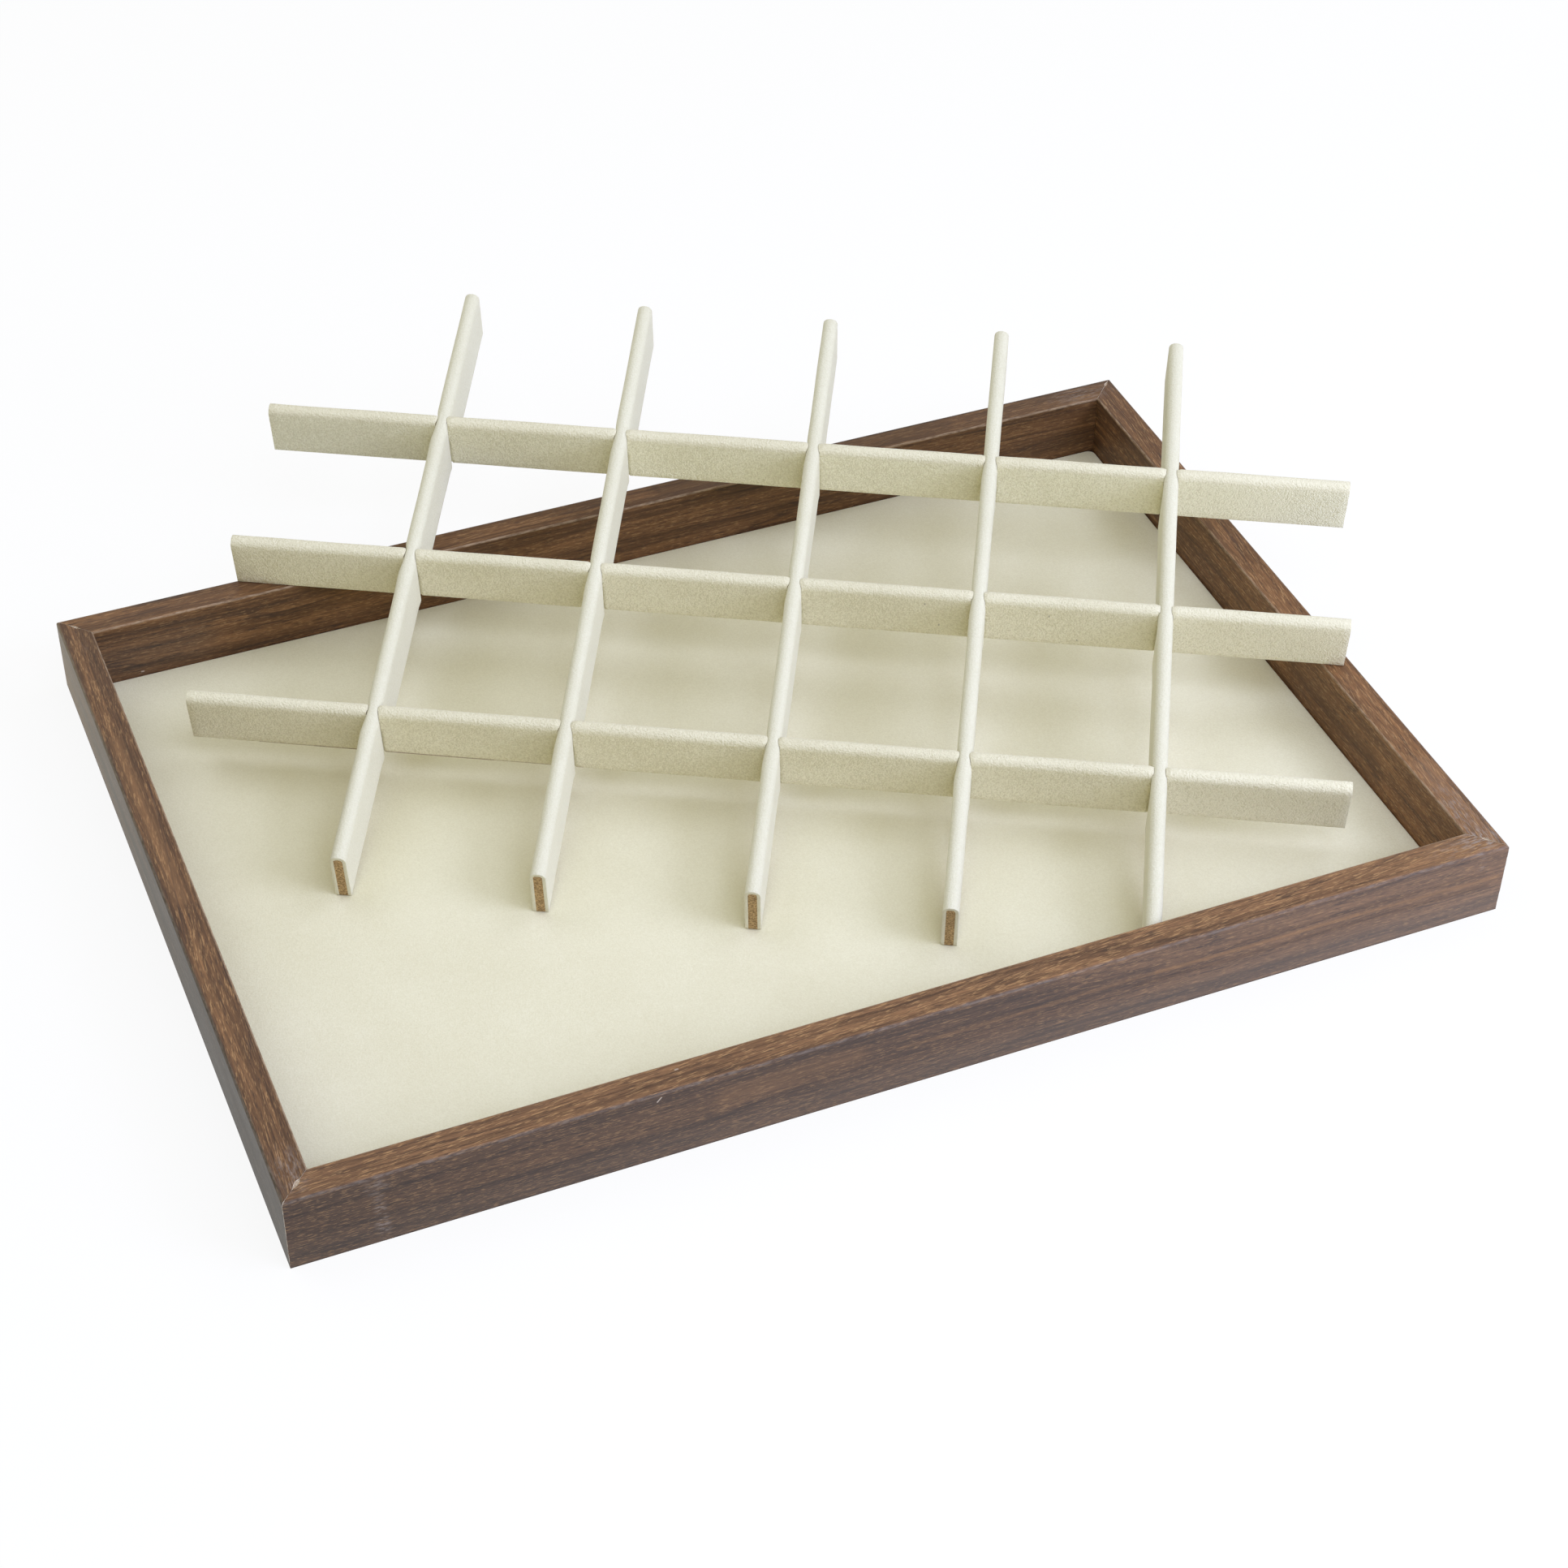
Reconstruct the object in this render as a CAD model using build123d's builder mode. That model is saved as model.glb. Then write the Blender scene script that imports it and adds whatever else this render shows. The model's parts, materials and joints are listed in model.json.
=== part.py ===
"""Jewelry tray: a shallow foil-wrapped frame with a velvet floor, and a loose grid of velvet strips.

Millimetres. X runs along the long rails, Y towards the far long rail and Z up. The origin is the
middle of the tray's underside, on the surface that it stands on. The grid lies as it was set down:
turned and tilted across the tray, on the velvet floor at its near side and on two rails behind.
"""
from build123d import *
from math import asin, atan2, cos, hypot, sin
import os

os.makedirs("parts", exist_ok=True)

# Frame
tray_length = 350.0
tray_width = 244.0
tray_height = 24.2
rail_width = 9.0
rail_edge_radius = 1.0
foil_thickness = 0.25

# Base board, held in a rebate under the rails
base_thickness = 2.5
base_rebate = 4.5
base_clearance = 0.2

# Floor pad: a card wrapped in velvet
card_thickness = 0.9
floor_velvet_thickness = 0.8
floor_clearance = 0.3
floor_corner_radius = 2.4
floor_edge_radius = 0.5

# Angled steel nails across the mitres, driven from below
nail_leg = 5.0
nail_thickness = 0.6
nail_height = 8.0
nail_inset = 2.0
nail_recess = 0.5

# Brads that hold the base board to the rails
brad_diameter = 0.9
brad_head_diameter = 2.0
brad_head_thickness = 0.4
brad_recess = 0.2
brad_length = 10.0
brad_tip_length = 1.0
brad_corner_distance = 25.0
long_rail_brad_count = 5
short_rail_brad_count = 3

# Divider strips: a board core in a folded velvet cover, half-lapped where two strips cross
strip_height = 17.0
strip_thickness = 4.5
strip_velvet_thickness = 1.0
strip_edge_radius = 1.6
core_edge_radius = 0.7
strip_end_clearance = 0.3
neck_thickness = 3.0
neck_ramp = 2.2
lap_gap = 0.3

# Places of the strips along the strips that they cross, from the middle, left to right and near to far
cross_place_shares = (-0.337, -0.1695, 0.009, 0.1725, 0.338)
long_place_shares = (-0.261, 0.008, 0.2535)
long_names = ("near", "middle", "far")

# Where the middle long strip lies on the rail tops, from their outer edges
rest_gap = 0.3
far_rest_share = 0.12
right_rest_share = 0.39

# Overrun of every cut past the face that it opens
overrun = 1.0

# Sizes that follow
inner_length = tray_length - 2 * rail_width
inner_width = tray_width - 2 * rail_width
floor_top = base_thickness + card_thickness + floor_velvet_thickness
long_length = inner_length - 2 * strip_end_clearance
cross_length = inner_width - 2 * strip_end_clearance
core_thickness = strip_thickness - 2 * strip_velvet_thickness
core_height = strip_height - strip_velvet_thickness
lap_width = neck_thickness + 2 * lap_gap
neck_flat = (strip_thickness + lap_gap) / 2
cross_places = [share * long_length for share in cross_place_shares]
long_places = [share * cross_length for share in long_place_shares]
middle_place = long_places[long_names.index("middle")]

# The grid's tilt: near ends on the floor, the middle long strip's lower edge on the rims
rise = tray_height - floor_top
resting_edge = middle_place - strip_thickness / 2
reach = resting_edge + cross_length / 2
tilt = asin(rise / reach)

# The grid's turn: the last cross strip's near end leans close to the near rail, and can still be
# drawn up along itself past the rim
far_rest = tray_width / 2 - far_rest_share * rail_width
right_rest = tray_length / 2 - right_rest_share * rail_width
side_reach = long_length / 2 + cross_places[-1] + strip_thickness / 2
near_reach = reach / cos(tilt)
room = far_rest + inner_width / 2 - rest_gap
turn = atan2(near_reach, side_reach) - asin(room / hypot(side_reach, near_reach))

along_long = Vector(cos(turn), sin(turn), 0)
along_cross = Vector(-sin(turn) * cos(tilt), cos(turn) * cos(tilt), sin(tilt))
grid_up = along_long.cross(along_cross)
resting_end = Vector(right_rest - long_length * cos(turn), far_rest, tray_height + rest_gap)
grid_middle = resting_end + along_long * (long_length / 2) - along_cross * resting_edge


def save(part, name):
    """Label a finished piece and write it under the same name."""
    part.label = name
    export_step(part, f"parts/{name}.step")


# Rails: each runs from one corner of the frame, with its section from the outer face inwards
corner_x = tray_length / 2
corner_y = tray_width / 2
rail_runs = {
    "near": (Vector(-corner_x, -corner_y), Vector(1, 0), Vector(0, 1), tray_length),
    "right": (Vector(corner_x, -corner_y), Vector(0, 1), Vector(-1, 0), tray_width),
    "far": (Vector(corner_x, corner_y), Vector(-1, 0), Vector(0, -1), tray_length),
    "left": (Vector(-corner_x, corner_y), Vector(0, -1), Vector(1, 0), tray_width),
}


def rail_section(skin):
    """Section of a rail, less a skin over its outer, top and inner faces, with the base's rebate."""
    with BuildSketch() as section:
        with Locations((rail_width / 2, 0)):
            Rectangle(rail_width - 2 * skin, tray_height - skin, align=(Align.CENTER, Align.MIN))
        fillet(section.vertices().group_by(Axis.Y)[-1], rail_edge_radius - skin)
        with Locations((rail_width, 0)):
            Rectangle(base_rebate, base_thickness, align=(Align.MAX, Align.MIN), mode=Mode.SUBTRACT)
    return section.sketch


def nail_outlines():
    """Right-angled nails in the four corners, a leg in each of the two rails that meet there."""
    back = nail_inset - nail_thickness / 2
    front = nail_inset + nail_thickness / 2
    tip = nail_inset + nail_leg
    with BuildSketch() as outlines:
        with Locations((-corner_x, -corner_y)):
            Polygon((back, back), (tip, back), (tip, front), (front, front), (front, tip), (back, tip), align=None)
        mirror(about=Plane.YZ)
        mirror(about=Plane.XZ)
    return outlines.sketch


def spread(span, count):
    """Even places along a side that keep the brads' distance from its corners."""
    step = (span - 2 * brad_corner_distance) / (count - 1)
    return [brad_corner_distance - span / 2 + index * step for index in range(count)]


brad_line_x = corner_x - rail_width + base_rebate / 2
brad_line_y = corner_y - rail_width + base_rebate / 2
brad_spots = [(x, side * brad_line_y) for x in spread(tray_length, long_rail_brad_count) for side in (-1, 1)]
brad_spots += [(side * brad_line_x, y) for y in spread(tray_width, short_rail_brad_count) for side in (-1, 1)]


def make_rail(run, foil):
    """One mitred rail: its board core, or the wood-grain foil wrapped over three of its faces."""
    corner, along, inward, length = run
    with BuildPart() as rail:
        with BuildSketch(Plane(origin=corner, x_dir=inward, z_dir=along)):
            add(rail_section(0 if foil else foil_thickness))
            if foil:
                add(rail_section(foil_thickness), mode=Mode.SUBTRACT)
        extrude(amount=length)
        with BuildSketch(Plane(origin=corner, x_dir=along, z_dir=Vector(0, 0, 1))):
            Polygon(
                (0, 0),
                (length, 0),
                (length - rail_width, rail_width),
                (rail_width, rail_width),
                align=None,
            )
        extrude(amount=tray_height, mode=Mode.INTERSECT)
        if not foil:
            add(nail_outlines())
            extrude(amount=nail_recess + nail_height, mode=Mode.SUBTRACT)
            with BuildSketch(Plane.XY.offset(base_thickness)):
                with Locations(*brad_spots):
                    Circle(brad_diameter / 2)
            extrude(amount=brad_recess + brad_length - base_thickness, mode=Mode.SUBTRACT)
    return rail.part


for side, run in rail_runs.items():
    save(make_rail(run, foil=False), f"{side}_rail")
    save(make_rail(run, foil=True), f"{side}_rail_foil")

# Corner nails, sunk a little under the rails
with BuildPart() as corner_nails:
    with BuildSketch(Plane.XY.offset(nail_recess)):
        add(nail_outlines())
    extrude(amount=nail_height)
save(corner_nails.part, "corner_nails")

# Base board, flush with the underside of the rails
with BuildPart() as base_board:
    with BuildSketch():
        reach_in = 2 * (base_rebate - base_clearance)
        Rectangle(inner_length + reach_in, inner_width + reach_in)
    extrude(amount=base_thickness)
    with BuildSketch():
        with Locations(*brad_spots):
            Circle(brad_diameter / 2)
    extrude(amount=base_thickness, mode=Mode.SUBTRACT)
    with BuildSketch():
        with Locations(*brad_spots):
            Circle(brad_head_diameter / 2)
    extrude(amount=brad_recess + brad_head_thickness, mode=Mode.SUBTRACT)
save(base_board.part, "base_board")

# Brads through the base board into the rails
with BuildPart() as base_brads:
    with BuildSketch(Plane.XY.offset(brad_recess)):
        with Locations(*brad_spots):
            Circle(brad_head_diameter / 2)
    extrude(amount=brad_head_thickness)
    with BuildSketch(Plane.XY.offset(brad_recess + brad_head_thickness)):
        with Locations(*brad_spots):
            Circle(brad_diameter / 2)
    extrude(amount=brad_length - brad_head_thickness - brad_tip_length)
    with Locations(*[(x, y, brad_recess + brad_length - brad_tip_length) for x, y in brad_spots]):
        Cone(brad_diameter / 2, 0, brad_tip_length, align=(Align.CENTER, Align.CENTER, Align.MIN))
save(base_brads.part, "base_brads")

# Floor card
velvet_length = inner_length - 2 * floor_clearance
velvet_width = inner_width - 2 * floor_clearance
card_length = velvet_length - 2 * floor_velvet_thickness
card_width = velvet_width - 2 * floor_velvet_thickness
card_corner_radius = floor_corner_radius - floor_velvet_thickness
with BuildPart() as floor_card:
    with BuildSketch(Plane.XY.offset(base_thickness)):
        RectangleRounded(card_length, card_width, card_corner_radius)
    extrude(amount=card_thickness)
save(floor_card.part, "floor_card")

# Velvet over the floor card, turned down round its edges
with BuildPart() as floor_velvet:
    with BuildSketch(Plane.XY.offset(base_thickness)):
        RectangleRounded(velvet_length, velvet_width, floor_corner_radius)
    extrude(amount=card_thickness + floor_velvet_thickness)
    fillet(floor_velvet.faces().sort_by(Axis.Z)[-1].edges(), floor_edge_radius)
    with BuildSketch(Plane.XY.offset(base_thickness)):
        RectangleRounded(card_length, card_width, card_corner_radius)
    extrude(amount=card_thickness, mode=Mode.SUBTRACT)
save(floor_velvet.part, "floor_velvet")


def strip_plane(place, crosswise):
    """Plane of one strip's underside: X along the strip and Z up from the grid."""
    if crosswise:
        return Plane(origin=grid_middle + along_long * place, x_dir=along_cross, z_dir=grid_up)
    return Plane(origin=grid_middle + along_cross * place, x_dir=along_long, z_dir=grid_up)


def strip_section(thickness, height, radius):
    """Upright section of a strip, rounded along the top."""
    with BuildSketch() as section:
        Rectangle(thickness, height, align=(Align.CENTER, Align.MIN))
        fillet(section.vertices().group_by(Axis.Y)[-1], radius)
    return section.sketch


def make_strip(plane, length, crossings, cover, crosswise):
    """A strip's core, or its velvet cover: slotted from above, or from below where it runs across."""
    lap_level = (strip_height + lap_gap) / 2 if crosswise else (strip_height - lap_gap) / 2
    neck_height = strip_height if crosswise else lap_level
    end_plane = Plane(
        origin=plane.from_local_coords((-length / 2, 0, 0)),
        x_dir=plane.y_dir,
        z_dir=plane.x_dir,
    )
    neck = neck_thickness / 2
    side = strip_thickness / 2
    flank = neck_flat + neck_ramp
    with BuildPart() as strip:
        with BuildSketch(end_plane):
            if cover:
                add(strip_section(strip_thickness, strip_height, strip_edge_radius))
            core_mode = Mode.SUBTRACT if cover else Mode.ADD
            add(strip_section(core_thickness, core_height, core_edge_radius), mode=core_mode)
        extrude(amount=length)
        if cover:
            with BuildSketch(plane):
                with Locations(*[(place, 0) for place in crossings]):
                    Polygon(
                        (-flank, side),
                        (-neck_flat, neck),
                        (neck_flat, neck),
                        (flank, side),
                        (flank, side + overrun),
                        (-flank, side + overrun),
                        align=None,
                    )
                mirror(about=Plane.XZ)
            extrude(amount=neck_height, mode=Mode.SUBTRACT)
        slot_start = 0 if crosswise else lap_level
        slot_end = lap_level if crosswise else strip_height
        with BuildSketch(plane.offset(slot_start)):
            with Locations(*[(place, 0) for place in crossings]):
                Rectangle(lap_width, strip_thickness + 2 * overrun)
        extrude(amount=slot_end - slot_start, mode=Mode.SUBTRACT)
    return strip.part


# Long strips, slotted from above
for name, place in zip(long_names, long_places):
    plane = strip_plane(place, crosswise=False)
    save(make_strip(plane, long_length, cross_places, False, False), f"{name}_long_strip_core")
    save(make_strip(plane, long_length, cross_places, True, False), f"{name}_long_strip_velvet")

# Cross strips, slotted from below, left to right
for number, place in enumerate(cross_places, start=1):
    plane = strip_plane(place, crosswise=True)
    save(make_strip(plane, cross_length, long_places, False, True), f"cross_strip_{number}_core")
    save(make_strip(plane, cross_length, long_places, True, True), f"cross_strip_{number}_velvet")
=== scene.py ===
import bmesh
import bpy
import json
from math import pi, radians
from mathutils import Matrix, Quaternion, Vector, noise


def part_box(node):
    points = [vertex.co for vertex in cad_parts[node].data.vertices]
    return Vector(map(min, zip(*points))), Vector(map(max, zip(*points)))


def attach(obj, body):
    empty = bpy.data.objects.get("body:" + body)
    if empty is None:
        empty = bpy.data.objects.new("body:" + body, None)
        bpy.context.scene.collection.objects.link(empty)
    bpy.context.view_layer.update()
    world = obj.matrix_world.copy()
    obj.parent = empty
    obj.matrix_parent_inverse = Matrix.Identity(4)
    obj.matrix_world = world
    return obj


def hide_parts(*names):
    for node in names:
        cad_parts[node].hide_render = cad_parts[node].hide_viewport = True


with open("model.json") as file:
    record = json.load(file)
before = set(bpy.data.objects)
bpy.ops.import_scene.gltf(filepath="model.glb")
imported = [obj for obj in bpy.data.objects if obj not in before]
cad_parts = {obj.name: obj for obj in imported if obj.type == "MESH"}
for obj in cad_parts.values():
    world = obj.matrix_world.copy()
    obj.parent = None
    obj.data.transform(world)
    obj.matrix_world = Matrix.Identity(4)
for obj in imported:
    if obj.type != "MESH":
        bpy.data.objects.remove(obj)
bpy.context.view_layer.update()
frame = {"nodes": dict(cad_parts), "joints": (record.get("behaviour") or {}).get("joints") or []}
mm = 0.001

# Camera: it looks down across the tray's near left corner from about 90 cm away.
# The focal length is given in pixels of the photograph, which is square.
photo_side = 1932
focal_pixels = 3901.3
sensor_width = 36.0
camera_place = Vector((-265.3, -635.7, 615.2)) * mm
camera_aim = Vector((3.55, -11.83, 12.0)) * mm
camera_roll = radians(1.155)
nearest_seen = 10 * mm
bpy.ops.object.camera_add(location=camera_place)
camera = bpy.context.object
camera.data.sensor_width = sensor_width
camera.data.lens = focal_pixels * sensor_width / photo_side
camera.data.clip_start = nearest_seen
view_turn = (camera_aim - camera_place).to_track_quat("-Z", "Y")
camera.rotation_euler = (view_turn @ Quaternion((0, 0, 1), camera_roll)).to_euler()
bpy.context.scene.camera = camera
bpy.context.scene.view_settings.view_transform = "Standard"


# Studio: a white table top and a white surround that the camera and the reflections see, with a
# dimmer sky and four large soft lamps that give the light, the strongest low at the front right.
class Value:
    """A number in a material: a sum written on it adds the Math nodes."""

    def __init__(self, finish, socket):
        self.finish = finish
        self.socket = socket

    def maths(self, operation, first, second):
        return self.finish.node("ShaderNodeMath", {"operation": operation}, {0: first, 1: second})

    def __add__(self, other):
        return self.maths("ADD", self, other)

    def __radd__(self, other):
        return self.maths("ADD", other, self)

    def __sub__(self, other):
        return self.maths("SUBTRACT", self, other)

    def __rsub__(self, other):
        return self.maths("SUBTRACT", other, self)

    def __mul__(self, other):
        return self.maths("MULTIPLY", self, other)

    def __rmul__(self, other):
        return self.maths("MULTIPLY", other, self)

    def __abs__(self):
        return self.maths("ABSOLUTE", self, 0)


class Finish:
    """A material, whose nodes are added one at a time."""

    def __init__(self, owner):
        owner.use_nodes = True
        self.owner = owner
        self.tree = owner.node_tree
        self.shader = self.tree.nodes.get("Principled BSDF")

    def node(self, kind, settings=None, inputs=None, output=0):
        """Adds a node, sets it up, then gives its sockets their values or links."""
        made = self.tree.nodes.new(kind)
        for setting, value in (settings or {}).items():
            if setting == "stops":
                ramp = made.color_ramp
                for index, (place, colour) in enumerate(value):
                    stop = ramp.elements[index] if index < 2 else ramp.elements.new(place)
                    stop.position = place
                    stop.color = colour
            else:
                setattr(made, setting, value)
        for socket, value in (inputs or {}).items():
            if isinstance(value, Value):
                self.tree.links.new(value.socket, made.inputs[socket])
            else:
                made.inputs[socket].default_value = value
        return Value(self, made.outputs[output])

    def feed(self, socket, value):
        """Gives one socket of the surface shader its number, colour or link."""
        if isinstance(value, Value):
            self.tree.links.new(value.socket, self.shader.inputs[socket])
        else:
            self.shader.inputs[socket].default_value = value


def clamped(finish, value):
    """The same number, held between 0 and 1."""
    return finish.node("ShaderNodeClamp", {}, {"Value": value})


def seen_directly(finish):
    """1 on the rays that should see plain white: from the camera, a reflection or glass."""
    outputs = finish.node("ShaderNodeLightPath").socket.node.outputs
    kinds = ("Is Camera Ray", "Is Glossy Ray", "Is Transmission Ray")
    camera_ray, glossy_ray, glass_ray = [Value(finish, outputs[kind]) for kind in kinds]
    return clamped(finish, camera_ray + glossy_ray + glass_ray)


def join_shaders(finish, share, first, second, target):
    """Mixes two shaders and leads them to the output of a material or of the world."""
    mixed = finish.node("ShaderNodeMixShader", {}, {0: share, 1: first, 2: second})
    outlet = next(node for node in finish.tree.nodes if node.type == target)
    finish.tree.links.new(mixed.socket, outlet.inputs["Surface"])


sky_colour = (1.0, 0.945, 0.54, 1)
sky_strength = 0.44
white = (1, 1, 1, 1)
surround = Finish(bpy.data.worlds.new("studio_surround"))
bpy.context.scene.world = surround.owner
dim_sky = surround.node("ShaderNodeBackground", {}, {"Color": sky_colour, "Strength": sky_strength})
white_sky = surround.node("ShaderNodeBackground", {}, {"Color": white, "Strength": 1.0})
join_shaders(surround, seen_directly(surround), dim_sky, white_sky, "OUTPUT_WORLD")

table_side = 6.0
table_drop = 0.2 * mm
table_white = (0.97, 0.97, 0.97, 1)
table_glow_share = 0.88
bpy.ops.mesh.primitive_plane_add(size=table_side, location=(0, 0, -table_drop))
table = bpy.context.object
table.name = "table_top"
table_finish = Finish(bpy.data.materials.new("table_white"))
matt = table_finish.node("ShaderNodeBsdfDiffuse", {}, {"Color": table_white})
glow = table_finish.node("ShaderNodeEmission", {}, {"Color": white, "Strength": 1.0})
glow_share = seen_directly(table_finish) * table_glow_share
join_shaders(table_finish, glow_share, matt, glow, "OUTPUT_MATERIAL")
table.data.materials.append(table_finish.owner)

lamp_distance = 1.5
lamp_side = 0.8
lamp_colour = (0.63, 0.69, 1.0)
# Azimuth from the right of the tray towards its back and elevation, in degrees, and watts.
lamps = {
    "lamp_right_front": (-45, 30, 15.4),
    "lamp_front": (-90, 55, 8.8),
    "lamp_left_back": (135, 55, 5.4),
    "lamp_right": (0, 55, 4.6),
}
for name, (azimuth, elevation, watts) in lamps.items():
    turn = Matrix.Rotation(radians(azimuth), 3, "Z") @ Matrix.Rotation(radians(-elevation), 3, "Y")
    place = turn @ Vector((lamp_distance, 0, 0))
    bpy.ops.object.light_add(type="AREA", location=place)
    lamp = bpy.context.object
    lamp.name = name
    lamp.rotation_euler = place.to_track_quat("Z", "Y").to_euler()
    lamp.data.size = lamp_side
    lamp.data.energy = watts
    lamp.data.color = lamp_colour


# Rail boards: four lengths of pressed fibreboard, sawn to mitres and bare underneath.
# Their pale edges show in the cracks of the foil.
sides = ("near", "far", "left", "right")
rail_board_pale = (0.56, 0.46, 0.34, 1)
rail_board_brown = (0.36, 0.26, 0.17, 1)
rail_board_grain = 1800
fibre_stretch = 1.6
fibre_detail = (3.0, 0.65)
fibre_spread = 0.16
speck_fineness = 2.2
speck_detail = (2.0, 0.6)
speck_band = (0.60, 0.72)
speck_darkness_share = 0.35
speck_share = 0.6
board_cloud_grain = 60
board_brightness = (0.86, 0.28)
board_roughness = (0.78, 0.14)
board_relief_strength = 0.5
board_relief = 0.12 * mm


def object_place(finish):
    """A place on the object, in metres."""
    return finish.node("ShaderNodeTexCoord", output=3)


def scaled_noise(finish, spot, scale, detail=2.0, roughness=0.5):
    """Noise from 0 to 1 that repeats its features scale times a metre along each axis."""
    stretched = finish.node("ShaderNodeMapping", {}, {"Vector": spot, "Scale": scale})
    settings = {"noise_dimensions": "3D", "normalize": True}
    inputs = {"Vector": stretched, "Scale": 1.0, "Detail": detail, "Roughness": roughness}
    return finish.node("ShaderNodeTexNoise", settings, inputs)


def step_up(finish, value, low, high):
    """0 under low, 1 over high and smooth between them."""
    inputs = {"Value": value, "From Min": low, "From Max": high}
    return finish.node("ShaderNodeMapRange", {"interpolation_type": "SMOOTHSTEP"}, inputs)


def graded(value, level_and_gain):
    """A level that rises with a value, by so much where the value is 1."""
    level, gain = level_and_gain
    return level + value * gain


def blend_colours(finish, share, first, second, kind="MIX"):
    """The first colour with a share of the second laid on it, mixed unless the kind says otherwise."""
    settings = {"data_type": "RGBA", "blend_type": kind}
    return finish.node("ShaderNodeMix", settings, {0: share, 6: first, 7: second}, output=2)


def times(finish, colour, factor):
    """One colour multiplied by another."""
    return blend_colours(finish, 1.0, colour, factor, "MULTIPLY")


def grey(finish, value):
    """The same number as a colour."""
    return finish.node("ShaderNodeCombineColor", {}, {0: value, 1: value, 2: value})


def relief(finish, height, strength, depth):
    """Bumps that only the light sees, from a height of 0 to 1."""
    inputs = {"Height": height, "Strength": strength, "Distance": depth}
    return finish.node("ShaderNodeBump", {}, inputs)


def board_finish(name, pale, brown, grain, contrast=1.0):
    """Pressed fibres: a speckle of pale and brown threads over a soft cloud."""
    finish = Finish(bpy.data.materials.new(name))
    spot = object_place(finish)
    fibres = scaled_noise(finish, spot, (grain, grain, grain * fibre_stretch), *fibre_detail)
    specks = scaled_noise(finish, spot, (grain * speck_fineness,) * 3, *speck_detail)
    cloud = scaled_noise(finish, spot, (board_cloud_grain,) * 3)
    spread = fibre_spread / contrast
    colour = blend_colours(finish, step_up(finish, fibres, 0.5 - spread, 0.5 + spread), brown, pale)
    dark = tuple(part * speck_darkness_share for part in brown[:3]) + (1,)
    colour = blend_colours(finish, step_up(finish, specks, *speck_band) * speck_share, colour, dark)
    finish.feed("Base Color", times(finish, colour, grey(finish, graded(cloud, board_brightness))))
    finish.feed("Roughness", graded(fibres, board_roughness))
    finish.feed("Normal", relief(finish, fibres, board_relief_strength, board_relief))
    return finish.owner


def dress(node, finish):
    """Gives a CAD node one finish all over."""
    piece = frame["nodes"][node]
    piece.data.materials.clear()
    piece.data.materials.append(finish)


rail_fibreboard = board_finish("rail_fibreboard", rail_board_pale, rail_board_brown, rail_board_grain)
for side in sides:
    dress(f"{side}_rail", rail_fibreboard)


# Rail foil: a thin printed film with a walnut grain, wrapped over each mitred rail and embossed
# along its grain. It ends a hair short of every mitre, where its pale paper edge and the board
# show as a crack, and it has a bitten chip in each corner.
tray_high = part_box("near_rail_foil")[1]
side_low, side_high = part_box("left_rail_foil")
half_length = tray_high.x
half_width = side_high.y
tray_height = tray_high.z
rail_width = side_high.x - side_low.x
foil_thickness = tray_high.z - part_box("near_rail")[1].z
rebate_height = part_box("base_board")[1].z
outer_radius = 1.0 * mm
inner_radius = 0.45 * mm
edge_steps = 6
length_cuts = 99
height_cuts = 39
top_cuts = 15
end_fit = 0.001 * mm
facing_share = 0.9
straight_share = 0.999
foil_smooth_angle = 35
crack = 0.07 * mm
crack_wander = 0.09 * mm
crack_reach = 1.3 * mm
crack_fineness = 3.1
inner_crack_share = 0.25
# The chip in each corner, right or not and far or not: its place from the side, depth and reach.
chips = {
    (False, False): (5.0 * mm, 0.80 * mm, 1.30 * mm),
    (True, False): (4.6 * mm, 0.55 * mm, 0.95 * mm),
    (False, True): (4.4 * mm, 0.55 * mm, 0.95 * mm),
    (True, True): (2.4 * mm, 0.60 * mm, 1.00 * mm),
}

grain_dark = (0.057, 0.031, 0.0165, 1)
grain_deep = (0.111, 0.057, 0.027, 1)
grain_brown = (0.177, 0.091, 0.041, 1)
grain_warm = (0.250, 0.129, 0.056, 1)
grain_stops = [(0.34, grain_dark), (0.45, grain_deep), (0.53, grain_brown), (0.66, grain_warm)]
# The pale flecks are partly printed flecks and partly painted glints.
fleck_glint_colour = (0.52, 0.31, 0.14, 1)
pore_colour = (0.045, 0.027, 0.018, 1)
vein_colour = (0.042, 0.026, 0.019, 1)
# The grey of the outer faces is a painted sheen of the white surround, with painted shade on the front
# faces.
front_face_painted_sheen = (0.084, 0.076, 0.078, 1)
side_face_painted_sheen = (0.122, 0.112, 0.070, 1)
# A paler colour towards the foot of the front and back rails' outer faces.
pale_foot_colour = (0.26, 0.235, 0.195, 1)
# The scuff and edge colours serve both wear and a painted highlight along the rounded top edges.
scuff_and_highlight_colour = (0.34, 0.285, 0.245, 1)
worn_edge_and_highlight_colour = (0.40, 0.29, 0.19, 1)
warm_streak = (0.32, 0.172, 0.078, 1)
# Dark streaks of the print; the same colour is the painted contact shadow at the foot of the outer faces.
dark_streak_and_contact_shade = (0.040, 0.024, 0.018, 1)
# A painted shade colour, laid as broad dark marks on the far rail's top and the right rail's inner face.
painted_shade_brown = (0.062, 0.031, 0.014, 1)
scratch_colour = (0.66, 0.56, 0.45, 1)
pale_wear = (0.42, 0.265, 0.16, 1)
grey_haze = (0.06, 0.08, 0.08, 1)
paper_pale = (0.80, 0.74, 0.64, 1)
paper_brown = (0.50, 0.40, 0.29, 1)

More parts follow.
